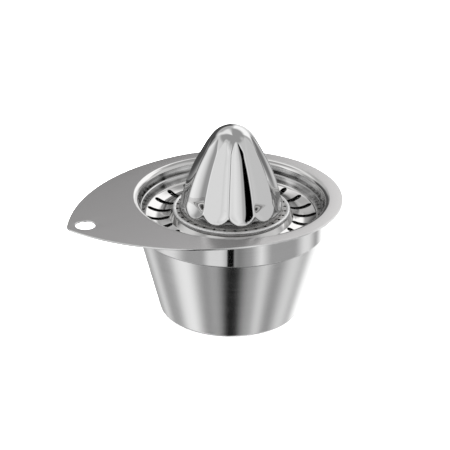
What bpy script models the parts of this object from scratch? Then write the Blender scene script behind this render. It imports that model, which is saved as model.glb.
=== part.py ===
"""Citrus press juicer in pressed stainless steel: a juice bowl, a strainer plate whose flange
runs out into a hanging handle, and a fluted reaming cone that sits in the plate.

The origin is on the bowl's axis, on the plane that the bowl stands on. +Z is up, and the
handle points along -X. Lengths are in millimetres and angles in degrees, up to the meshes.
"""

import math

import bmesh
import bpy
from mathutils import Matrix, Vector
from mathutils.geometry import intersect_sphere_sphere_2d

MM = 0.001

# Sheet thicknesses, and the gap between pieces that rest on each other.
BOWL_SHEET = 0.8
PLATE_SHEET = 1.2
CONE_SHEET = 0.8
GAP = 0.3

# Bowl, measured on its outside.
BASE_RADIUS = 44.4
BASE_FILLET = 3.0
TAPER_TOP_RADIUS = 59.7
TAPER_TOP_HEIGHT = 57.3
BAND_FOOT_RADIUS = 60.6
BAND_FOOT_HEIGHT = 58.1
BAND_TOP_RADIUS = 60.73
RIM_FILLET = 1.2
RIM_RADIUS = 63.3

# Strainer plate, measured on its upper side.
FLANGE_HEIGHT = 77.5
FLANGE_JOIN_RADIUS = 64.0
WELL_TOP_RADIUS = 59.26
WELL_LIP_FILLET = 3.5
WELL_FOOT_RADIUS = 57.2
WELL_FOOT_HEIGHT = 70.0
LEDGE_WIDTH = 0.6
LEDGE_DROP = 0.2
TROUGH_OUTER_RADIUS = 54.6
TROUGH_OUTER_HEIGHT = 64.4
TROUGH_OUTER_FILLET = 2.5
TROUGH_LOW_RADIUS = 46.5
TROUGH_LOW_HEIGHT = 61.2
TROUGH_LOW_FILLET = 16.0
COLLAR_FOOT_RADIUS = 39.0
COLLAR_FOOT_HEIGHT = 63.6
COLLAR_RADIUS = 36.0
COLLAR_BEND_HEIGHT = 66.9
COLLAR_FILLET = 1.0

# Teardrop outline of the flange: a half circle, two flank arcs and a round tip.
FLANGE_RADIUS = 70.0
FLANK_OFFSET = 55.0
TIP_RADIUS = 7.0
HANG_HOLE_RADIUS = 6.05
HANG_HOLE_REACH = 99.6

# Juice slots in the trough.
SLOT_COUNT = 24
SLOT_INNER_RADIUS = 38.9
SLOT_OUTER_RADIUS = 54.1
SLOT_WIDTH = 3.8
SLOT_CUT_HEIGHT = 64.0
SLOT_CUT_DEPTH = 10.0

# Reaming cone, measured on its outside: a round dome on a bulging side, and a brim.
CONE_TOP_HEIGHT = 125.3
CONE_DOME_RADIUS = 16.2
CONE_SIDE_RADIUS = 105.0
CONE_FOOT_RADIUS = 32.8
CONE_FOOT_HEIGHT = 70.0
BRIM_HEIGHT = 69.3
BRIM_ROOT_RADIUS = 32.95
BRIM_FLAT_RADIUS = 34.9
BEAD_HEIGHT = 69.9
BEAD_FILLET = 1.1
BRIM_EDGE_HEIGHT = 67.2

# Flutes pressed into the cone: pointed at the top and round at the foot.
FLUTE_COUNT = 12
FLUTE_TURN = 16.6
FLUTE_TOP_HEIGHT = 121.0
FLUTE_POINT_LENGTH = 12.0
FLUTE_FOOT_HEIGHT = 72.4
FLUTE_FOOT_LENGTH = 8.0

# Drain holes in the brim, round the cone's foot.
DRAIN_COUNT = 32
DRAIN_PITCH_RADIUS = 34.05
DRAIN_RADIUS = 0.95
DRAIN_CUT_DEPTH = 3.0

# Fineness of the solids: steps round the axis, and degrees a step along arcs.
TURN_STEPS = 48
CONE_STEPS = 72
BEND_STEP = 22.5
DOME_STEP = 18.0
SIDE_STEP = 3.7
OUTLINE_STEP = 7.5
SLOT_END_STEP = 36.0
HANG_HOLE_SIDES = 24
DRAIN_SIDES = 8
MERGE_DISTANCE = 0.01 * MM
SHARP_ANGLE = 30.0

# Colour, metallic value and roughness of each finish.
BRUSHED = ((0.62, 0.62, 0.61), 1.0, 0.32)
SATIN = ((0.56, 0.55, 0.55), 1.0, 0.28)
POLISHED = ((0.78, 0.78, 0.78), 1.0, 0.08)


def clear_scene():
    for thing in list(bpy.data.objects):
        bpy.data.objects.remove(thing, do_unlink=True)


def new_collection(name):
    collection = bpy.data.collections.new(name)
    bpy.context.scene.collection.children.link(collection)
    return collection


def steel(name, finish):
    color, metallic, roughness = finish
    material = bpy.data.materials.new(name)
    material.use_nodes = True
    shader = material.node_tree.nodes["Principled BSDF"]
    shader.inputs["Base Color"].default_value = (*color, 1.0)
    shader.inputs["Metallic"].default_value = metallic
    shader.inputs["Roughness"].default_value = roughness
    return material


def polar(radius, angle):
    turn = math.radians(angle)
    return radius * Vector((math.cos(turn), math.sin(turn)))


def arc_points(centre, radius, start, end, step):
    """Points on an arc from the angle start to the angle end, both included."""
    count = max(1, math.ceil(abs(end - start) / step - 0.01))
    return [centre + polar(radius, start + (end - start) * index / count) for index in range(count + 1)]


def fillet_points(before, corner, after, radius):
    """The arc that rounds a corner of a profile."""
    to_before = (before - corner).normalized()
    to_after = (after - corner).normalized()
    half_angle = math.acos(to_before.dot(to_after)) / 2
    centre = corner + (to_before + to_after).normalized() * radius / math.sin(half_angle)
    first = corner + to_before * radius / math.tan(half_angle) - centre
    last = corner + to_after * radius / math.tan(half_angle) - centre
    start = math.degrees(math.atan2(first.y, first.x))
    sweep = math.degrees(math.atan2(first.cross(last), first.dot(last)))
    return arc_points(centre, radius, start, start + sweep, BEND_STEP)


def rounded_profile(corners):
    """Profile points through (radius, height, fillet) corners, rounding those with a fillet."""
    places = [Vector(corner[:2]) for corner in corners]
    points = []
    for index, corner in enumerate(corners):
        if corner[2]:
            points += fillet_points(*places[index - 1:index + 2], corner[2])
        else:
            points.append(places[index])
    return points


def baked_mesh(thing):
    """An object's mesh with its modifiers applied; the object itself is removed."""
    graph = bpy.context.evaluated_depsgraph_get()
    mesh = bpy.data.meshes.new_from_object(thing.evaluated_get(graph))
    bpy.data.objects.remove(thing, do_unlink=True)
    return mesh


def turned_surface(name, points, steps):
    """The open surface that a profile of (radius, height) points sweeps about the Z axis."""
    mesh = bpy.data.meshes.new(name)
    edges = [(index, index + 1) for index in range(len(points) - 1)]
    mesh.from_pydata([(point.x * MM, 0.0, point.y * MM) for point in points], edges, [])
    profile = bpy.data.objects.new(name, mesh)
    bpy.context.scene.collection.objects.link(profile)
    screw = profile.modifiers.new("Turn", "SCREW")
    screw.axis = "Z"
    screw.steps = steps
    screw.render_steps = steps
    screw.use_merge_vertices = True
    screw.merge_threshold = MERGE_DISTANCE
    return baked_mesh(profile)


def filled_outlines(name, outlines, height):
    """A mesh filled between closed outlines of (x, y) points, thickened to this height."""
    curve = bpy.data.curves.new(name, "CURVE")
    curve.dimensions = "2D"
    curve.fill_mode = "BOTH"
    curve.extrude = height * MM / 2
    for outline in outlines:
        spline = curve.splines.new("POLY")
        spline.points.add(len(outline) - 1)
        for point, place in zip(spline.points, outline):
            point.co = (place.x * MM, place.y * MM, 0.0, 1.0)
        spline.use_cyclic_u = True
    shape = bpy.data.objects.new(name, curve)
    bpy.context.scene.collection.objects.link(shape)
    mesh = baked_mesh(shape)
    welded = bmesh.new()
    welded.from_mesh(mesh)
    bmesh.ops.remove_doubles(welded, verts=welded.verts, dist=MERGE_DISTANCE)
    welded.to_mesh(mesh)
    welded.free()
    return mesh


def sheet_object(name, mesh, thickness, collection, material):
    """A piece of sheet steel, which thickens an open surface away from its normals."""
    piece = bpy.data.objects.new(name, mesh)
    collection.objects.link(piece)
    mesh.materials.append(material)
    mesh.shade_smooth()
    mesh.set_sharp_from_angle(angle=math.radians(SHARP_ANGLE))
    solidify = piece.modifiers.new("Sheet", "SOLIDIFY")
    solidify.thickness = thickness * MM
    solidify.offset = -1.0
    solidify.use_even_offset = True
    return piece


def punch(piece, cutters):
    boolean = piece.modifiers.new("Punched holes", "BOOLEAN")
    boolean.operation = "DIFFERENCE"
    boolean.solver = "EXACT"
    boolean.operand_type = "COLLECTION"
    boolean.collection = cutters


def ring_of_cutters(name, mesh, count, first_angle, radius, height):
    """A collection with copies of one cutter, spread evenly round the Z axis."""
    cutters = new_collection(name)
    for index in range(count):
        angle = first_angle + 360.0 * index / count
        cutter = bpy.data.objects.new(f"{name}_{index + 1:02d}", mesh)
        cutters.objects.link(cutter)
        cutter.location = (*polar(radius * MM, angle), height * MM)
        cutter.rotation_euler.z = math.radians(angle)
        cutter.hide_render = True
        cutter.display_type = "WIRE"
    return cutters


def bowl_profile():
    """The bowl's outer side, from the flared rim down to the middle of the base."""
    rim_underside = FLANGE_HEIGHT - PLATE_SHEET - GAP - BOWL_SHEET
    return rounded_profile([
        (RIM_RADIUS, rim_underside, 0),
        (BAND_TOP_RADIUS, rim_underside, RIM_FILLET),
        (BAND_FOOT_RADIUS, BAND_FOOT_HEIGHT, 0),
        (TAPER_TOP_RADIUS, TAPER_TOP_HEIGHT, 0),
        (BASE_RADIUS, 0.0, BASE_FILLET),
        (0.0, 0.0, 0),
    ])


def plate_profile():
    """The plate's upper side, from the collar under the cone's brim out to the flange."""
    return rounded_profile([
        (COLLAR_RADIUS, BRIM_HEIGHT - CONE_SHEET - GAP, 0),
        (COLLAR_RADIUS, COLLAR_BEND_HEIGHT, COLLAR_FILLET),
        (COLLAR_FOOT_RADIUS, COLLAR_FOOT_HEIGHT, COLLAR_FILLET),
        (TROUGH_LOW_RADIUS, TROUGH_LOW_HEIGHT, TROUGH_LOW_FILLET),
        (TROUGH_OUTER_RADIUS, TROUGH_OUTER_HEIGHT, TROUGH_OUTER_FILLET),
        (WELL_FOOT_RADIUS - LEDGE_WIDTH, WELL_FOOT_HEIGHT - LEDGE_DROP, 0),
        (WELL_FOOT_RADIUS, WELL_FOOT_HEIGHT, 0),
        (WELL_TOP_RADIUS, FLANGE_HEIGHT, WELL_LIP_FILLET),
        (FLANGE_JOIN_RADIUS, FLANGE_HEIGHT, 0),
    ])


def cone_profile():
    """The cone's outer side, from the tip down to the foot and out along the brim."""
    dome_centre = Vector((0.0, CONE_TOP_HEIGHT - CONE_DOME_RADIUS))
    foot = Vector((CONE_FOOT_RADIUS, CONE_FOOT_HEIGHT))
    reach = CONE_SIDE_RADIUS - CONE_DOME_RADIUS
    centres = intersect_sphere_sphere_2d(dome_centre, reach, foot, CONE_SIDE_RADIUS)
    side_centre = min(centres, key=lambda centre: centre.x)
    join = math.degrees(math.atan2(*reversed(dome_centre - side_centre)))
    foot_angle = math.degrees(math.atan2(*reversed(foot - side_centre)))
    dome = arc_points(dome_centre, CONE_DOME_RADIUS, 90.0, join, DOME_STEP)
    side = arc_points(side_centre, CONE_SIDE_RADIUS, join, foot_angle, SIDE_STEP)
    brim_edge = COLLAR_RADIUS + GAP + CONE_SHEET
    brim = rounded_profile([
        (BRIM_ROOT_RADIUS, BRIM_HEIGHT, 0),
        (BRIM_FLAT_RADIUS, BRIM_HEIGHT, 0),
        (brim_edge, BEAD_HEIGHT, BEAD_FILLET),
        (brim_edge, BRIM_EDGE_HEIGHT, 0),
    ])
    dome[0].x = 0.0
    return dome[:-1] + side + brim


def flute_width(height):
    """How wide a flute is at a height, from 0 at its ends to 1 along its middle."""
    from_top = (FLUTE_TOP_HEIGHT - height) / FLUTE_POINT_LENGTH
    from_foot = (height - FLUTE_FOOT_HEIGHT) / FLUTE_FOOT_LENGTH
    if from_top <= 0 or from_foot <= 0:
        return 0.0
    point = math.sin(math.pi / 2 * min(from_top, 1.0))
    round_foot = math.sqrt(1.0 - (1.0 - min(from_foot, 1.0)) ** 2)
    return point * round_foot


def fluted_radius(radius, height, angle):
    """The radius of the fluted side, where the plain cone has this radius.

    Each flute is a hollow arc that turns by the same angle at every height. Its two edges lie
    on the plain cone, where at full width they meet the next flutes' edges as ridges.
    """
    half_pitch = math.pi / FLUTE_COUNT
    half_width = half_pitch * flute_width(height)
    off_middle = abs(angle % (2 * half_pitch) - half_pitch)
    if off_middle >= half_width:
        return radius
    turn = math.radians(FLUTE_TURN)
    hollow = radius * math.sin(half_width) / math.sin(turn)
    hollow_centre = radius * math.cos(half_width) + hollow * math.cos(turn)
    sideways = hollow_centre * math.sin(off_middle)
    return hollow_centre * math.cos(off_middle) - math.sqrt(hollow ** 2 - sideways ** 2)


def press_flutes(mesh):
    for vertex in mesh.vertices:
        radius = math.hypot(vertex.co.x, vertex.co.y) / MM
        if radius < MERGE_DISTANCE:
            continue
        angle = math.atan2(vertex.co.y, vertex.co.x)
        ratio = fluted_radius(radius, vertex.co.z / MM, angle) / radius
        vertex.co.x *= ratio
        vertex.co.y *= ratio


def flange_outline():
    """The teardrop, from +X round the far side of the bowl to the handle's tip and back."""
    flank_radius = FLANGE_RADIUS + FLANK_OFFSET
    flank_centre = Vector((0.0, -FLANK_OFFSET))
    tip_distance = flank_radius - TIP_RADIUS
    tip_centre = Vector((-math.sqrt(tip_distance ** 2 - FLANK_OFFSET ** 2), 0.0))
    flank_end = math.degrees(math.atan2(*reversed(tip_centre - flank_centre)))
    half = arc_points(Vector((0.0, 0.0)), FLANGE_RADIUS, 0.0, 90.0, OUTLINE_STEP)
    half += arc_points(flank_centre, flank_radius, 90.0, flank_end, OUTLINE_STEP)[1:]
    half += arc_points(tip_centre, TIP_RADIUS, flank_end, 180.0, BEND_STEP)[1:]
    return half + [Vector((point.x, -point.y)) for point in reversed(half[1:-1])]


def plate_surface():
    """The turned middle of the plate, welded to its flat flange."""
    join_circle = arc_points(Vector((0.0, 0.0)), FLANGE_JOIN_RADIUS, 0.0, 360.0, 360.0 / TURN_STEPS)
    hang_centre = Vector((-HANG_HOLE_REACH, 0.0))
    hang_hole = arc_points(hang_centre, HANG_HOLE_RADIUS, 0.0, 360.0, 360.0 / HANG_HOLE_SIDES)
    flange = filled_outlines("flange", [flange_outline(), join_circle[:-1], hang_hole[:-1]], 0.0)
    flange.transform(Matrix.Translation((0.0, 0.0, FLANGE_HEIGHT * MM)))
    middle = turned_surface("strainer_plate", plate_profile(), TURN_STEPS)
    joined = bmesh.new()
    joined.from_mesh(middle)
    joined.from_mesh(flange)
    bmesh.ops.remove_doubles(joined, verts=joined.verts, dist=MERGE_DISTANCE)
    joined.to_mesh(middle)
    joined.free()
    return middle


def slot_cutters():
    """Upright prisms with round ends, one for each radial slot."""
    end_radius = SLOT_WIDTH / 2
    half_length = (SLOT_OUTER_RADIUS - SLOT_INNER_RADIUS) / 2 - end_radius
    outline = arc_points(Vector((half_length, 0.0)), end_radius, -90.0, 90.0, SLOT_END_STEP)
    outline += arc_points(Vector((-half_length, 0.0)), end_radius, 90.0, 270.0, SLOT_END_STEP)
    mesh = filled_outlines("slot_cutter", [outline], SLOT_CUT_DEPTH)
    middle_radius = (SLOT_INNER_RADIUS + SLOT_OUTER_RADIUS) / 2
    first_angle = 180.0 / SLOT_COUNT
    return ring_of_cutters("slot_cutters", mesh, SLOT_COUNT, first_angle, middle_radius, SLOT_CUT_HEIGHT)


def drain_cutters():
    outline = arc_points(Vector((0.0, 0.0)), DRAIN_RADIUS, 0.0, 360.0, 360.0 / DRAIN_SIDES)[:-1]
    mesh = filled_outlines("drain_cutter", [outline], DRAIN_CUT_DEPTH)
    return ring_of_cutters("drain_cutters", mesh, DRAIN_COUNT, 0.0, DRAIN_PITCH_RADIUS, BRIM_HEIGHT)


def build_bowl(collection):
    mesh = turned_surface("juice_bowl", bowl_profile(), TURN_STEPS)
    return sheet_object("juice_bowl", mesh, BOWL_SHEET, collection, steel("bowl_brushed", BRUSHED))


def build_plate(collection):
    material = steel("plate_satin", SATIN)
    plate = sheet_object("strainer_plate", plate_surface(), PLATE_SHEET, collection, material)
    punch(plate, slot_cutters())
    return plate


def build_cone(collection):
    mesh = turned_surface("reaming_cone", cone_profile(), CONE_STEPS)
    press_flutes(mesh)
    material = steel("cone_polished", POLISHED)
    cone = sheet_object("reaming_cone", mesh, CONE_SHEET, collection, material)
    punch(cone, drain_cutters())
    return cone


def main():
    clear_scene()
    collection = new_collection("citrus_press_juicer")
    build_bowl(collection)
    insert_lift = bpy.data.objects.new("insert_lift", None)
    collection.objects.link(insert_lift)
    for piece in (build_plate(collection), build_cone(collection)):
        piece.parent = insert_lift


main()
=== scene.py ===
"""The looks of a stainless steel citrus press: a juice bowl, a strainer plate with a handle, and
a fluted reaming cone.

Each piece is a fine sheet-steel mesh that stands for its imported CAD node, and rides on its body.
+Z is up the bowl's axis and the handle points along -X. Lengths are in millimetres and angles
in degrees, up to the meshes.
"""

import math
from collections import namedtuple

import bmesh
import bpy
from mathutils import Matrix, Vector
from mathutils.geometry import intersect_sphere_sphere_2d


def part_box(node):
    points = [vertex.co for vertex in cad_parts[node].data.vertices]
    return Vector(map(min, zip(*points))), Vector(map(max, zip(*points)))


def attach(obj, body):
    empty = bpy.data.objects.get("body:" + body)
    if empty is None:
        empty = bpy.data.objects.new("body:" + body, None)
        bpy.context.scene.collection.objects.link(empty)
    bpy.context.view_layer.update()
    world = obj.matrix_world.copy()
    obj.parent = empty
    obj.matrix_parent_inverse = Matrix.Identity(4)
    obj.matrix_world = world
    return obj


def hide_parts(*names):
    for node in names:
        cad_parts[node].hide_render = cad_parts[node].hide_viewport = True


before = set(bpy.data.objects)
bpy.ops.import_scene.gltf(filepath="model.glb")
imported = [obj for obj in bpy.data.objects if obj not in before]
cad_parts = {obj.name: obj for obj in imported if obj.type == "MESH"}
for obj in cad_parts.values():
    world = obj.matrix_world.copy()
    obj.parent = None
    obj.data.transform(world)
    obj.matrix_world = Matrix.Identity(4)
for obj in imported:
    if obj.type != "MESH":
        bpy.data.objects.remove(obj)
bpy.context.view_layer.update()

MM = 0.001
bowl_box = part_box("juice_bowl")
plate_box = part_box("strainer_plate")
cone_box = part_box("reaming_cone")

# Sheet thicknesses.
BOWL_SHEET = 0.8
PLATE_SHEET = 1.2
CONE_SHEET = 0.8

# Bowl, measured on its outside.
RIM_RADIUS = bowl_box[1].x / MM
RIM_TOP = bowl_box[1].z / MM
BASE_RADIUS = 44.4
BASE_FILLET = 3.0
TAPER_TOP = (59.7, 57.3)
BAND_FOOT = (60.6, 58.1)
BAND_TOP_RADIUS = 60.73
STEP_FILLET = 0.35
RIM_FILLET = 1.2

# Strainer plate, measured on its upper side: (radius, height, fillet) from the collar outwards.
FLANGE_HEIGHT = plate_box[1].z / MM
COLLAR_TOP_HEIGHT = 68.2
PLATE_CORNERS = [
    (36.0, COLLAR_TOP_HEIGHT, 0.0),
    (36.0, 66.9, 1.0),
    (39.0, 63.6, 1.0),
    (46.5, 61.2, 16.0),
    (54.6, 64.4, 2.5),
    (56.6, 69.8, 0.4),
    (57.2, 70.0, 0.4),
    (59.26, FLANGE_HEIGHT, 3.5),
    (64.0, FLANGE_HEIGHT, 0.0),
]

# The polish ends where the flat flange begins, and the well's drawn wall, streaked with painted dark
# reflections, stands between two radii.
LIP_RADIUS = 61.9
WALL_RADII = (55.6, 58.6)

# Teardrop outline of the flange.
FLANGE_RADIUS = plate_box[1].x / MM
FLANK_OFFSET = 55.0
TIP_RADIUS = 7.0
HANG_HOLE_RADIUS = 6.05
HANG_HOLE_REACH = 99.6
FLANGE_EDGE_ROUNDING = 0.4

# Juice slots in the trough.
SLOT_COUNT = 24
SLOT_ENDS = (38.9, 54.1)
SLOT_HALF_WIDTH = 1.9

# Reaming cone, measured on its outside.
CONE_TOP_HEIGHT = cone_box[1].z / MM
CONE_DOME_RADIUS = 16.2
CONE_SIDE_RADIUS = 105.0
CONE_FOOT = Vector((32.8, 70.0))
BRIM_EDGE_RADIUS = cone_box[1].x / MM
BRIM_CORNERS = [
    (32.95, 69.3, 0.0),
    (34.9, 69.3, 0.5),
    (BRIM_EDGE_RADIUS, 69.9, 1.1),
    (BRIM_EDGE_RADIUS, cone_box[0].z / MM, 0.0),
]

# Flutes pressed into the cone, and drain holes in its brim.
FLUTE_COUNT = 12
FLUTE_TURN = 16.6
FLUTE_TOP_HEIGHT = 121.0
FLUTE_POINT_LENGTH = 12.0
FLUTE_FOOT_HEIGHT = 72.4
FLUTE_FOOT_LENGTH = 8.0
RIDGE_ROUNDING = 0.8
DRAIN_COUNT = 32
DRAIN_PITCH_RADIUS = 34.05
DRAIN_RADIUS = 0.95

# The channel round the cone's foot, coloured darker as painted shade and painted dark reflections.
CHANNEL_RADII = (32.2, 35.3)

# Fineness: columns round the axis, and degrees a step along arcs.
BOWL_COLUMNS = 240
SLOT_SIDE_COLUMNS = 5
FLUTE_COLUMNS = 28
DRAIN_SIDE_COLUMNS = 3
BEND_STEP = 6.0
DOME_STEP = 3.0
SIDE_STEP = 0.6
OUTLINE_STEP = 2.5
TIP_STEP = 7.5
HOLE_STEP = 7.5
SLOT_END_STEP = 15.0
EDGE_SEGMENTS = 3
STEP_TOLERANCE = 0.01
MERGE_DISTANCE = 0.001 * MM

# Shading: edges sharper than SHARP_ANGLE stay sharp, and those sharper than ROUNDED_ANGLE are
# rounded. Flat faces have the greater say in the normals.
SHARP_ANGLE = 35.0
ROUNDED_ANGLE = 60.0
FLAT_FACE_WEIGHT = 80

# Which faces take which finish, by the upward part of their normal and by a small margin.
UPRIGHT_NORMAL = 0.5
LEVEL_NORMAL = 0.99
CUT_MARGIN = 0.5
STEP_MARGIN = 0.1
BAND_MARGIN = 0.2

# Camera: where it stands, what it looks at, and its roll.
CAMERA_AZIMUTH = -27.03
CAMERA_ELEVATION = 25.55
CAMERA_ROLL = 0.87
CAMERA_DISTANCE = 1300.0
CAMERA_AIM_HEIGHT = 70.0
CAMERA_LENS = 164.97
CAMERA_SENSOR = 36.0
CAMERA_SHIFT = (-0.0142, -0.0416)
CAMERA_CLIP_END = 20000.0


# ---------------------------------------------------------------- outlines and profiles


def polar(radius, angle):
    turn = math.radians(angle)
    return radius * Vector((math.cos(turn), math.sin(turn)))


def bearing(vector):
    return math.degrees(math.atan2(vector.y, vector.x))


def arc_points(centre, radius, start, end, step):
    """Points on an arc from the angle start to the angle end, both included."""
    count = max(1, math.ceil(abs(end - start) / step - STEP_TOLERANCE))
    return [centre + polar(radius, start + (end - start) * index / count) for index in range(count + 1)]


def fillet_points(before, corner, after, radius):
    """The arc that rounds a corner of a profile."""
    to_before = (before - corner).normalized()
    to_after = (after - corner).normalized()
    half_angle = math.acos(to_before.dot(to_after)) / 2
    centre = corner + (to_before + to_after).normalized() * radius / math.sin(half_angle)
    first = corner + to_before * radius / math.tan(half_angle) - centre
    last = corner + to_after * radius / math.tan(half_angle) - centre
    sweep = math.degrees(math.atan2(first.cross(last), first.dot(last)))
    return arc_points(centre, radius, bearing(first), bearing(first) + sweep, BEND_STEP)


def rounded_profile(corners):
    """Profile points through (radius, height, fillet) corners, rounding those with a fillet."""
    places = [Vector(corner[:2]) for corner in corners]
    points = []
    for index, corner in enumerate(corners):
        if corner[2]:
            points += fillet_points(*places[index - 1:index + 2], corner[2])
        else:
            points.append(places[index])
    return points


def with_rows_at(profile, radii):
    """The profile with extra points where it passes these radii."""
    rows = [profile[0]]
    for before, after in zip(profile, profile[1:]):
        crossed = [radius for radius in radii if before.x < radius < after.x]
        rows += [before.lerp(after, (radius - before.x) / (after.x - before.x)) for radius in sorted(crossed)]
        rows.append(after)
    return rows


def bowl_profile():
    rim_underside = RIM_TOP - BOWL_SHEET
    return rounded_profile([
        (RIM_RADIUS, rim_underside, 0),
        (BAND_TOP_RADIUS, rim_underside, RIM_FILLET),
        (*BAND_FOOT, STEP_FILLET),
        (*TAPER_TOP, STEP_FILLET),
        (BASE_RADIUS, 0.0, BASE_FILLET),
        (0.0, 0.0, 0),
    ])


def cone_profile():
    """The cone's outer side, from the tip down to the foot."""
    dome_centre = Vector((0.0, CONE_TOP_HEIGHT - CONE_DOME_RADIUS))
    reach = CONE_SIDE_RADIUS - CONE_DOME_RADIUS
    centres = intersect_sphere_sphere_2d(dome_centre, reach, CONE_FOOT, CONE_SIDE_RADIUS)
    side_centre = min(centres, key=lambda centre: centre.x)
    join = bearing(dome_centre - side_centre)
    foot_angle = bearing(CONE_FOOT - side_centre)
    dome = arc_points(dome_centre, CONE_DOME_RADIUS, 90.0, join, DOME_STEP)
    side = arc_points(side_centre, CONE_SIDE_RADIUS, join, foot_angle, SIDE_STEP)
    dome[0].x = 0.0
    return dome[:-1] + side


def flange_outline():
    """The teardrop, from +X round the far side of the bowl to the handle's tip and back."""
    flank_radius = FLANGE_RADIUS + FLANK_OFFSET
    flank_centre = Vector((0.0, -FLANK_OFFSET))
    tip_distance = flank_radius - TIP_RADIUS
    tip_centre = Vector((-math.sqrt(tip_distance ** 2 - FLANK_OFFSET ** 2), 0.0))
    flank_end = bearing(tip_centre - flank_centre)
    half = arc_points(Vector((0.0, 0.0)), FLANGE_RADIUS, 0.0, 90.0, OUTLINE_STEP)
    half += arc_points(flank_centre, flank_radius, 90.0, flank_end, OUTLINE_STEP / 2)[1:]
    half += arc_points(tip_centre, TIP_RADIUS, flank_end, 180.0, TIP_STEP)[1:]
    return half + [Vector((point.x, -point.y)) for point in reversed(half[1:-1])]


# ---------------------------------------------------------------- flutes


def flute_width(height):
    """How wide a flute is at a height, from 0 at its ends to 1 along its middle."""
    from_top = (FLUTE_TOP_HEIGHT - height) / FLUTE_POINT_LENGTH
    from_foot = (height - FLUTE_FOOT_HEIGHT) / FLUTE_FOOT_LENGTH
    if from_top <= 0 or from_foot <= 0:
        return 0.0
    point = math.sin(math.pi / 2 * min(from_top, 1.0))
    round_foot = math.sqrt(1.0 - (1.0 - min(from_foot, 1.0)) ** 2)
    return point * round_foot


def fluted_radius(radius, height, angle):
    """The radius of the fluted side, where the plain cone has this radius.

    Each flute is a hollow arc, and the ridge between two flutes is slightly rounded.
    """
    half_pitch = math.pi / FLUTE_COUNT
    half_width = half_pitch * flute_width(height)
    if half_width == 0 or radius == 0:
        return radius
    off_middle = abs(math.radians(angle) % (2 * half_pitch) - half_pitch)
    from_ridge = math.hypot(half_pitch - off_middle, RIDGE_ROUNDING / radius)
    off_middle = max(0.0, half_pitch - from_ridge)
    if off_middle >= half_width:
        return radius
    turn = math.radians(FLUTE_TURN)
    hollow = radius * math.sin(half_width) / math.sin(turn)
    hollow_centre = radius * math.cos(half_width) + hollow * math.cos(turn)
    sideways = hollow_centre * math.sin(off_middle)
    return hollow_centre * math.cos(off_middle) - math.sqrt(hollow ** 2 - sideways ** 2)


# ---------------------------------------------------------------- meshes


def sweep(name, profile, strips_at, radius_at=None):
    """A mesh of quads: the profile's rows round the Z axis, in strips of columns.

    strips_at gives the strips at a radius, each a list of angles.
    """
    rows = [strips_at(point.x) for point in profile]
    places = []
    faces = []
    for strip in range(len(rows[0])):
        columns = len(rows[0][strip])
        first = len(places)
        for point, row in zip(profile, rows):
            for angle in row[strip]:
                radius = radius_at(point.x, point.y, angle) if radius_at else point.x
                places.append((*polar(radius * MM, angle), point.y * MM))
        for row in range(len(profile) - 1):
            for column in range(columns - 1):
                corner = first + row * columns + column
                faces.append((corner, corner + columns, corner + columns + 1, corner + 1))
    mesh = bpy.data.meshes.new(name)
    mesh.from_pydata(places, [], faces)
    return mesh


def ring_columns(count):
    """One strip of evenly spaced columns all the way round."""
    angles = [360.0 * index / count for index in range(count + 1)]
    return lambda radius: [angles]


def cut_columns(count, first_angle, side_columns, half_width_at):
    """Strips between cuts: each cut is a gap whose half width depends on the radius."""
    half_pitch = 180.0 / count

    def strips_at(radius):
        opening = math.degrees(math.asin(half_width_at(radius) / radius))
        column = (half_pitch - opening) / side_columns
        offsets = [opening + column * step for step in range(side_columns + 1)]
        strips = []
        for index in range(count):
            middle = first_angle + 2 * half_pitch * index
            strips.append([middle - offset for offset in reversed(offsets)])
            strips.append([middle + offset for offset in offsets])
        return strips

    return strips_at


def slot_half_width(radius):
    """Half the width of a round-ended slot at a radius."""
    inside = min(radius - SLOT_ENDS[0], SLOT_ENDS[1] - radius)
    if inside <= 0:
        return 0.0
    if inside >= SLOT_HALF_WIDTH:
        return SLOT_HALF_WIDTH
    return math.sqrt(SLOT_HALF_WIDTH ** 2 - (SLOT_HALF_WIDTH - inside) ** 2)


def drain_half_width(radius):
    off_centre = radius - DRAIN_PITCH_RADIUS
    return math.sqrt(max(0.0, DRAIN_RADIUS ** 2 - off_centre ** 2))


def end_radii(ends, rounding, step):
    """Radii that follow the round ends of a cut evenly."""
    steps = round(90.0 / step)
    insets = [rounding * (1 - math.cos(math.pi / 2 * index / steps)) for index in range(steps + 1)]
    return [ends[0] + inset for inset in insets] + [ends[1] - inset for inset in insets]


def filled_outlines(name, outlines, height):
    """A flat mesh filled between closed outlines of (x, y) points."""
    curve = bpy.data.curves.new(name, "CURVE")
    curve.dimensions = "2D"
    curve.fill_mode = "BOTH"
    for outline in outlines:
        spline = curve.splines.new("POLY")
        spline.points.add(len(outline) - 1)
        for point, place in zip(spline.points, outline):
            point.co = (place.x * MM, place.y * MM, 0.0, 1.0)
        spline.use_cyclic_u = True
    shape = bpy.data.objects.new(name, curve)
    bpy.context.scene.collection.objects.link(shape)
    mesh = baked_mesh(shape)
    mesh.transform(Matrix.Translation((0.0, 0.0, height * MM)))
    return mesh


def baked_mesh(thing):
    """An object's mesh with its modifiers applied; the object itself is removed."""
    graph = bpy.context.evaluated_depsgraph_get()
    mesh = bpy.data.meshes.new_from_object(thing.evaluated_get(graph))
    bpy.data.objects.remove(thing, do_unlink=True)
    return mesh


def welded(*meshes):
    """One mesh from several, joined where their points meet."""
    joined = bmesh.new()
    for mesh in meshes:
        joined.from_mesh(mesh)
    bmesh.ops.remove_doubles(joined, verts=joined.verts, dist=MERGE_DISTANCE)
    bmesh.ops.dissolve_degenerate(joined, edges=joined.edges, dist=MERGE_DISTANCE)
    joined.to_mesh(meshes[0])
    joined.free()
    return meshes[0]


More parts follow.
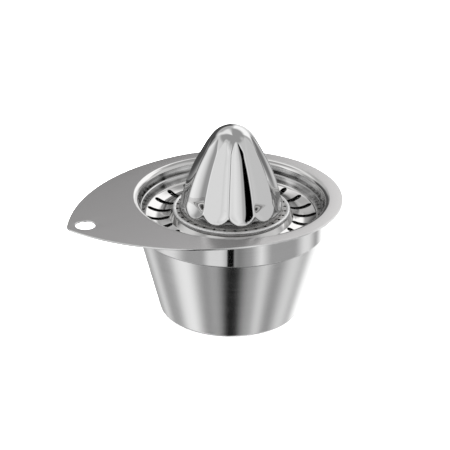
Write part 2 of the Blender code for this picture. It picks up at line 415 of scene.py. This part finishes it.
def bridged(upper, lower):
    """One mesh from two, bridged between the open loops that face each other."""
    joined = bmesh.new()
    joined.from_mesh(upper)
    loop = lowest_loop(joined)
    count = len(joined.verts)
    joined.from_mesh(lower)
    joined.verts.ensure_lookup_table()
    fresh = set(joined.verts[count:])
    inner = min(vert.co.xy.length for vert in fresh)
    loop += [
        edge for edge in joined.edges
        if edge.is_boundary and all(
            vert in fresh and vert.co.xy.length < inner + MERGE_DISTANCE for vert in edge.verts
        )
    ]
    bmesh.ops.bridge_loops(joined, edges=loop)
    bmesh.ops.recalc_face_normals(joined, faces=joined.faces)
    joined.to_mesh(upper)
    joined.free()
    return upper


def lowest_loop(shape):
    """The open edges at the foot of a shape."""
    foot = min(vert.co.z for vert in shape.verts)
    return [
        edge for edge in shape.edges
        if edge.is_boundary and all(vert.co.z < foot + MERGE_DISTANCE for vert in edge.verts)
    ]


def thickened(name, mesh, thickness):
    """The closed sheet that a surface makes when it is thickened away from its normals."""
    sheet = bpy.data.objects.new(name, mesh)
    bpy.context.scene.collection.objects.link(sheet)
    solidify = sheet.modifiers.new("Sheet", "SOLIDIFY")
    solidify.thickness = thickness * MM
    solidify.offset = -1.0
    solidify.use_even_offset = True
    return baked_mesh(sheet)


def round_edges(mesh, width, beyond_radius):
    """Rounds the sharp edges that lie further out than this radius."""
    shape = bmesh.new()
    shape.from_mesh(mesh)
    sharp = [
        edge for edge in shape.edges
        if len(edge.link_faces) == 2 and edge.calc_face_angle() > math.radians(ROUNDED_ANGLE)
        and min(vert.co.xy.length for vert in edge.verts) > beyond_radius * MM
    ]
    bmesh.ops.bevel(
        shape, geom=sharp, offset=width * MM, segments=EDGE_SEGMENTS, profile=0.5, affect="EDGES"
    )
    shape.to_mesh(mesh)
    shape.free()


def steel_piece(name, mesh, materials, finish_at, body):
    """The finished piece: its materials by face, its shading, and its place on the frame."""
    piece = bpy.data.objects.new(name, mesh)
    bpy.context.scene.collection.objects.link(piece)
    mesh.materials.clear()
    for material in materials:
        mesh.materials.append(material)
    for face in mesh.polygons:
        face.material_index = finish_at(face.center.xy.length / MM, face.center.z / MM, face.normal)
    mesh.shade_smooth()
    mesh.set_sharp_from_angle(angle=math.radians(SHARP_ANGLE))
    weighted = piece.modifiers.new("Flat faces stay flat", "WEIGHTED_NORMAL")
    weighted.keep_sharp = True
    weighted.weight = FLAT_FACE_WEIGHT
    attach(piece, body)
    return piece


def build_bowl(materials):
    mesh = welded(sweep("bowl", bowl_profile(), ring_columns(BOWL_COLUMNS)))
    sheet = thickened("bowl", mesh, BOWL_SHEET)
    round_edges(sheet, BOWL_SHEET / 3, BAND_TOP_RADIUS)

    def finish_at(radius, height, normal):
        band_foot = BAND_FOOT[1] - BAND_MARGIN
        # The ledge under the band is coloured dark as a painted shadow.
        if TAPER_TOP[1] - STEP_MARGIN < height < band_foot and radius > TAPER_TOP[0] - STEP_MARGIN:
            return 2
        return 1 if height > band_foot else 0

    piece = steel_piece("bowl_shell", sheet, materials, finish_at, "bowl")
    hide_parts("juice_bowl")


def build_plate(materials):
    slot_rows = end_radii(SLOT_ENDS, SLOT_HALF_WIDTH, SLOT_END_STEP)
    profile = with_rows_at(rounded_profile(PLATE_CORNERS), slot_rows)
    columns = cut_columns(SLOT_COUNT, 180.0 / SLOT_COUNT, SLOT_SIDE_COLUMNS, slot_half_width)
    middle = sweep("plate", profile, columns)
    join_step = 180.0 / (SLOT_COUNT * SLOT_SIDE_COLUMNS)
    join_circle = arc_points(Vector((0.0, 0.0)), profile[-1].x, 0.0, 360.0, join_step)[:-1]
    hang_centre = Vector((-HANG_HOLE_REACH, 0.0))
    hang_hole = arc_points(hang_centre, HANG_HOLE_RADIUS, 0.0, 360.0, HOLE_STEP)[:-1]
    flange = filled_outlines("flange", [flange_outline(), join_circle, hang_hole], FLANGE_HEIGHT)
    sheet = thickened("plate", welded(middle, flange), PLATE_SHEET)
    round_edges(sheet, FLANGE_EDGE_ROUNDING, LIP_RADIUS)

    def finish_at(radius, height, normal):
        in_slots = SLOT_ENDS[0] - CUT_MARGIN < radius < SLOT_ENDS[1] + CUT_MARGIN
        # Slot walls take the near-black painted shade.
        if in_slots and abs(normal.z) < UPRIGHT_NORMAL:
            return 3
        # The well's wall takes streaks of painted dark reflection.
        if WALL_RADII[0] < radius < WALL_RADII[1]:
            return 4
        if radius < LIP_RADIUS:
            return 1
        return 0 if abs(normal.z) > LEVEL_NORMAL else 2

    piece = steel_piece("strainer_insert", sheet, materials, finish_at, "insert")
    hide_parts("strainer_plate")


def flute_columns():
    """Columns round the cone, closer together towards the ridges."""
    pitch = 360.0 / FLUTE_COUNT
    shares = [(1 - math.cos(math.pi * step / FLUTE_COLUMNS)) / 2 for step in range(FLUTE_COLUMNS)]
    angles = [pitch * (flute + share) for flute in range(FLUTE_COUNT) for share in shares]
    return lambda radius: [angles + [360.0]]


def build_cone(materials):
    cone = welded(sweep("cone", cone_profile(), flute_columns(), fluted_radius))
    drain_ends = (DRAIN_PITCH_RADIUS - DRAIN_RADIUS, DRAIN_PITCH_RADIUS + DRAIN_RADIUS)
    drain_rows = end_radii(drain_ends, DRAIN_RADIUS, SLOT_END_STEP)
    brim_profile = with_rows_at(rounded_profile(BRIM_CORNERS), drain_rows)
    drains = cut_columns(DRAIN_COUNT, 0.0, DRAIN_SIDE_COLUMNS, drain_half_width)
    brim = welded(sweep("brim", brim_profile, drains))
    sheet = thickened("cone", bridged(cone, brim), CONE_SHEET)

    def finish_at(radius, height, normal):
        # Drain hole walls take the near-black painted shade.
        if abs(radius - DRAIN_PITCH_RADIUS) < DRAIN_RADIUS and abs(normal.z) < UPRIGHT_NORMAL:
            return 2
        # The channel takes painted shade and painted dark reflections.
        if CHANNEL_RADII[0] < radius < CHANNEL_RADII[1] and height < FLUTE_FOOT_HEIGHT:
            return 3
        # The brim is coloured lighter than the cone's steel as a painted highlight.
        return 1 if radius > CONE_FOOT.x and height < CONE_FOOT.y else 0

    piece = steel_piece("fluted_reamer", sheet, materials, finish_at, "insert")
    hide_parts("reaming_cone")


# ---------------------------------------------------------------- materials

NOISE_RANGE = (0.3, 0.7)


def steel(name, color, roughness, anisotropic=0.0):
    """A steel material, with its node tree and its shader."""
    material = bpy.data.materials.new(name)
    material.use_nodes = True
    tree = material.node_tree
    shader = tree.nodes["Principled BSDF"]
    shader.inputs["Base Color"].default_value = (*color, 1.0)
    shader.inputs["Metallic"].default_value = 1.0
    shader.inputs["Roughness"].default_value = roughness
    shader.inputs["Anisotropic"].default_value = anisotropic
    return material, tree, shader


def stretched_noise(tree, scale, detail):
    """Noise over the piece's own coordinates, with a scale along each axis, in features a metre."""
    place = tree.nodes.new("ShaderNodeTexCoord")
    mapping = tree.nodes.new("ShaderNodeMapping")
    mapping.inputs["Scale"].default_value = scale
    noise = tree.nodes.new("ShaderNodeTexNoise")
    noise.inputs["Scale"].default_value = 1.0
    noise.inputs["Detail"].default_value = detail
    tree.links.new(place.outputs["Object"], mapping.inputs["Vector"])
    tree.links.new(mapping.outputs["Vector"], noise.inputs["Vector"])
    return noise.outputs["Fac"]


def stretched(tree, source, low, high):
    """Noise, most of which lies within NOISE_RANGE, stretched to run between two values."""
    node = tree.nodes.new("ShaderNodeMapRange")
    node.inputs["From Min"].default_value = NOISE_RANGE[0]
    node.inputs["From Max"].default_value = NOISE_RANGE[1]
    node.inputs["To Min"].default_value = low
    node.inputs["To Max"].default_value = high
    tree.links.new(source, node.inputs["Value"])
    return node.outputs["Result"]


def vary(tree, source, low, high, target):
    """Drives a shader input from noise, between two values."""
    tree.links.new(stretched(tree, source, low, high), target)


def tint(tree, shader, source, dark, light):
    """Varies the base colour between two steels."""
    mix = tree.nodes.new("ShaderNodeMix")
    mix.data_type = "RGBA"
    mix.inputs["A"].default_value = (*dark, 1.0)
    mix.inputs["B"].default_value = (*light, 1.0)
    tree.links.new(stretched(tree, source, 0.0, 1.0), mix.inputs["Factor"])
    tree.links.new(mix.outputs["Result"], shader.inputs["Base Color"])


def bump(tree, shader, source, distance, strength):
    node = tree.nodes.new("ShaderNodeBump")
    node.inputs["Strength"].default_value = strength
    node.inputs["Distance"].default_value = distance * MM
    tree.links.new(source, node.inputs["Height"])
    tree.links.new(node.outputs["Normal"], shader.inputs["Normal"])


def turned_grain(tree, shader):
    """Grooves run round the Z axis, so the gloss spreads across them, up and down the wall."""
    tangent = tree.nodes.new("ShaderNodeTangent")
    tangent.direction_type = "RADIAL"
    tangent.axis = "Z"
    tree.links.new(tangent.outputs["Tangent"], shader.inputs["Tangent"])
    shader.inputs["Anisotropic Rotation"].default_value = 0.25


def brushed_steel(name, roughness, anisotropic):
    material, tree, shader = steel(name, (0.62, 0.62, 0.62), roughness, anisotropic)
    turned_grain(tree, shader)
    grooves = stretched_noise(tree, (25.0, 25.0, 3500.0), 4.0)
    vary(tree, grooves, roughness * 0.88, roughness * 1.12, shader.inputs["Roughness"])
    tint(tree, shader, grooves, (0.60, 0.60, 0.60), (0.64, 0.64, 0.64))
    bump(tree, shader, grooves, 0.004, 0.15)
    return material


def satin_steel():
    material, tree, shader = steel("flange_satin", (0.56, 0.55, 0.55), 0.19)
    grain = stretched_noise(tree, (5000.0, 5000.0, 5000.0), 3.0)
    vary(tree, grain, 0.175, 0.205, shader.inputs["Roughness"])
    tint(tree, shader, grain, (0.545, 0.535, 0.535), (0.585, 0.575, 0.575))
    bump(tree, shader, grain, 0.001, 0.2)
    return material


def punched_steel_painted_shade():
    """The rough walls that a punch leaves in a sheet, coloured near black as painted shade for the dark
    inside of the cuts.
    """
    material, tree, shader = steel("punched_edge_painted_shade", (0.05, 0.05, 0.05), 0.55)
    tears = stretched_noise(tree, (900.0, 900.0, 3000.0), 3.0)
    vary(tree, tears, 0.45, 0.65, shader.inputs["Roughness"])
    bump(tree, shader, tears, 0.03, 0.4)
    return material


def drawn_steel_painted_reflections():
    """The well's wall, with streaks round it: they vary its roughness and bumps like the marks of the drawing
    die, and their colour, from near black to light, is painted dark reflection.
    """
    material, tree, shader = steel("wall_drawn_painted_reflections", (0.40, 0.40, 0.40), 0.10)
    streaks = stretched_noise(tree, (10.0, 10.0, 450.0), 1.0)
    vary(tree, streaks, 0.06, 0.16, shader.inputs["Roughness"])
    tint(tree, shader, streaks, (0.05, 0.048, 0.046), (0.74, 0.74, 0.74))
    bump(tree, shader, streaks, 0.02, 0.3)
    return material


def polished_steel(name, color, roughness, waviness):
    material, tree, shader = steel(name, color, roughness)
    haze = stretched_noise(tree, (220.0, 220.0, 220.0), 5.0)
    vary(tree, haze, roughness * 0.8, roughness * 1.3, shader.inputs["Roughness"])
    waves = stretched_noise(tree, (90.0, 90.0, 90.0), 1.0)
    bump(tree, shader, waves, waviness, 0.5)
    return material


# ---------------------------------------------------------------- studio

# The studio that the steel reflects: panels painted one over another. Azimuth 0 is the camera's
# side and positive is to its right. Each panel fades over its softness on both sides of its
# upright edges, and over PANEL_FADE at its lower and upper edges.
Panel = namedtuple("Panel", "azimuth half_width lowest highest softness brightness")
ALL_ROUND = 200.0
PANEL_FADE = 8.0
PANELS = [
    # Low walls, walls and ceiling.
    Panel(0, ALL_ROUND, -100, 100, 5, 0.5),
    Panel(0, ALL_ROUND, -14, 46, 5, 0.9),
    Panel(0, ALL_ROUND, 46, 100, 5, 0.45),
    # Lamps near the floor, which light the bowl's stripes.
    Panel(-136, 8, -100, -14, 10, 1.15),
    Panel(-118, 4, -100, -14, 5, 0.4),
    Panel(-77, 17, -100, -38, 10, 1.4),
    Panel(-80, 16, -38, -14, 12, 1.1),
    Panel(-42, 6, -100, -38, 6, 0.35),
    Panel(-18, 12, -38, -14, 6, 1.05),
    Panel(3, 18, -100, -38, 12, 0.0),
    Panel(10, 6, -38, -14, 8, 0.3),
    Panel(0, 4, -38, -14, 1, 0.0),
    Panel(54, 6, -100, -38, 10, 1.3),
    Panel(37, 6, -38, -14, 9, 1.2),
    Panel(77, 5, -100, -38, 6, 0.3),
    Panel(103, 12, -100, -14, 10, 1.1),
    Panel(155, 24, -100, -14, 10, 1.5),
    # Level walls, which light the cone's flutes.
    Panel(-150, 33, -14, 26, 6, 0.1),
    Panel(-105, 10, -14, 26, 8, 0.45),
    Panel(-67, 14, -14, 30, 14, 1.35),
    Panel(-22, 22, -14, 46, 2, 1.05),
    Panel(72, 26, -14, 46, 12, 0.8),
    Panel(36, 8, -14, 46, 10, 1.15),
    Panel(16, 4, -14, 46, 3, 0.6),
    Panel(7, 6, -14, 44, 1, 0.0),
    Panel(135, 12, -14, 12, 6, 0.25),
    Panel(168, 9, -14, 12, 6, 1.1),
    # Upper walls, which light the flange and the well.
    Panel(148, 29, 18, 46, 4, 1.45),
    Panel(112, 5, 18, 46, 7, 0.55),
    Panel(-155, 22, 30, 46, 8, 0.55),
    Panel(-127, 7, 34, 60, 8, 1.2),
    # Ceiling lamps.
    Panel(-145, 24, 46, 100, 14, 1.2),
    Panel(-38, 20, 46, 58, 8, 0.9),
    Panel(85, 12, 46, 58, 10, 0.75),
]
FLOOR_COLOR = (0.9, 0.9, 0.9)
FLOOR_GLOW = 0.5
FLOOR_ROUGHNESS = 0.9
FLOOR_RADIUS = 4000.0
FLOOR_SIDES = 96
ROOM_LIGHT = 3.5


def math_node(tree, operation, *values):
    node = tree.nodes.new("ShaderNodeMath")
    node.operation = operation
    for socket, value in zip(node.inputs, values):
        if isinstance(value, (int, float)):
            socket.default_value = value
        else:
            tree.links.new(value, socket)
    return node.outputs["Value"]


def faded(tree, value, edge, softness):
    """A mask that falls from 1 to 0 as a value in radians passes an edge in degrees."""
    node = tree.nodes.new("ShaderNodeMapRange")
    node.interpolation_type = "SMOOTHSTEP"
    node.inputs["From Min"].default_value = math.radians(edge - softness)
    node.inputs["From Max"].default_value = math.radians(edge + softness)
    node.inputs["To Min"].default_value = 1.0
    node.inputs["To Max"].default_value = 0.0
    tree.links.new(value, node.inputs["Value"])
    return node.outputs["Result"]


def painted(tree, brightness, panel, azimuth, elevation):
    """The studio's brightness with one more panel painted over it."""
    sideways = math_node(tree, "SUBTRACT", azimuth, math.radians(panel.azimuth))
    sideways = math_node(tree, "ABSOLUTE", math_node(tree, "WRAP", sideways, math.pi, -math.pi))
    middle = (panel.lowest + panel.highest) / 2
    upright = math_node(tree, "ABSOLUTE", math_node(tree, "SUBTRACT", elevation, math.radians(middle)))
    across = faded(tree, sideways, panel.half_width, panel.softness)
    along = faded(tree, upright, panel.highest - middle, PANEL_FADE)
    mask = math_node(tree, "MULTIPLY", across, along)
    change = math_node(tree, "SUBTRACT", panel.brightness, brightness)
    return math_node(tree, "MULTIPLY_ADD", mask, change, brightness)


def build_studio():
    """A soft white room. Only the steel's reflections see its panels and gaps."""
    world = bpy.data.worlds.new("studio")
    bpy.context.scene.world = world
    world.use_nodes = True
    tree = world.node_tree
    tree.nodes.clear()
    direction = tree.nodes.new("ShaderNodeTexCoord").outputs["Generated"]
    turn = tree.nodes.new("ShaderNodeVectorRotate")
    turn.rotation_type = "Z_AXIS"
    turn.inputs["Angle"].default_value = math.radians(-CAMERA_AZIMUTH)
    tree.links.new(direction, turn.inputs["Vector"])
    parts = tree.nodes.new("ShaderNodeSeparateXYZ")
    tree.links.new(turn.outputs["Vector"], parts.inputs["Vector"])
    toward = math_node(tree, "MULTIPLY", parts.outputs["Y"], -1.0)
    azimuth = math_node(tree, "ARCTAN2", parts.outputs["X"], toward)
    elevation = math_node(tree, "ARCSINE", parts.outputs["Z"])
    brightness = 0.0
    for panel in PANELS:
        brightness = painted(tree, brightness, panel, azimuth, elevation)
    panels = tree.nodes.new("ShaderNodeBackground")
    panels.inputs["Color"].default_value = (1.0, 1.0, 1.0, 1.0)
    tree.links.new(brightness, panels.inputs["Strength"])
    room = tree.nodes.new("ShaderNodeBackground")
    room.inputs["Color"].default_value = (1.0, 1.0, 1.0, 1.0)
    room.inputs["Strength"].default_value = ROOM_LIGHT
    path = tree.nodes.new("ShaderNodeLightPath")
    plain = math_node(tree, "MAXIMUM", path.outputs["Is Camera Ray"], path.outputs["Is Diffuse Ray"])
    choose = tree.nodes.new("ShaderNodeMixShader")
    tree.links.new(plain, choose.inputs["Fac"])
    tree.links.new(panels.outputs["Background"], choose.inputs[1])
    tree.links.new(room.outputs["Background"], choose.inputs[2])
    output = tree.nodes.new("ShaderNodeOutputWorld")
    tree.links.new(choose.outputs["Shader"], output.inputs["Surface"])


def build_floor():
    mesh = bpy.data.meshes.new("floor")
    shape = bmesh.new()
    bmesh.ops.create_circle(shape, cap_ends=True, segments=FLOOR_SIDES, radius=FLOOR_RADIUS * MM)
    shape.to_mesh(mesh)
    shape.free()
    floor = bpy.data.objects.new("floor", mesh)
    bpy.context.scene.collection.objects.link(floor)
    material = bpy.data.materials.new("pale_floor")
    material.use_nodes = True
    shader = material.node_tree.nodes["Principled BSDF"]
    shader.inputs["Base Color"].default_value = (*FLOOR_COLOR, 1.0)
    shader.inputs["Roughness"].default_value = FLOOR_ROUGHNESS
    shader.inputs["Specular IOR Level"].default_value = 0.0
    shader.inputs["Emission Color"].default_value = (*FLOOR_COLOR, 1.0)
    shader.inputs["Emission Strength"].default_value = FLOOR_GLOW
    mesh.materials.append(material)
    floor.visible_glossy = False


def build_camera():
    data = bpy.data.cameras.new("camera")
    camera = bpy.data.objects.new("camera", data)
    bpy.context.scene.collection.objects.link(camera)
    data.sensor_width = CAMERA_SENSOR
    data.lens = CAMERA_LENS
    data.shift_x, data.shift_y = CAMERA_SHIFT
    azimuth = math.radians(CAMERA_AZIMUTH)
    elevation = math.radians(CAMERA_ELEVATION)
    back = Vector((
        math.sin(azimuth) * math.cos(elevation),
        -math.cos(azimuth) * math.cos(elevation),
        math.sin(elevation),
    ))
    aim = Vector((0.0, 0.0, CAMERA_AIM_HEIGHT * MM))
    turn = (-back).to_track_quat("-Z", "Y").to_matrix().to_4x4()
    roll = Matrix.Rotation(math.radians(CAMERA_ROLL), 4, "Z")
    camera.matrix_world = Matrix.Translation(aim + back * CAMERA_DISTANCE * MM) @ turn @ roll
    data.clip_end = CAMERA_CLIP_END * MM
    bpy.context.scene.camera = camera


def main():
    build_studio()
    build_floor()
    build_camera()
    bpy.context.scene.view_settings.view_transform = "Standard"
    polished = polished_steel("well_polished", (0.66, 0.655, 0.65), 0.07, 0.25)
    # The bowl's ledge, dark grey as a painted shadow under the band.
    step = polished_steel("step_painted_shadow", (0.16, 0.16, 0.16), 0.30, 0.05)
    build_bowl([brushed_steel("bowl_brushed", 0.20, 0.90), brushed_steel("band_brushed", 0.09, 0.90), step])
    # Cut walls, near black as painted shade.
    punched_painted_shade = punched_steel_painted_shade()
    edge = polished_steel("edge_polished", (0.70, 0.70, 0.70), 0.12, 0.05)
    build_plate([satin_steel(), polished, edge, punched_painted_shade, drawn_steel_painted_reflections()])
    # The channel's steel, darker as painted shade and painted dark reflections.
    channel = polished_steel("channel_painted_shade", (0.40, 0.395, 0.39), 0.22, 0.10)
    # The brim's steel, lighter than steel as a painted highlight, and rough so reflections blur.
    rim = polished_steel("rim_painted_highlight", (0.85, 0.85, 0.85), 0.45, 0.05)
    build_cone([polished_steel("cone_polished", (0.64, 0.64, 0.64), 0.035, 0.04), rim, punched_painted_shade, channel])


main()
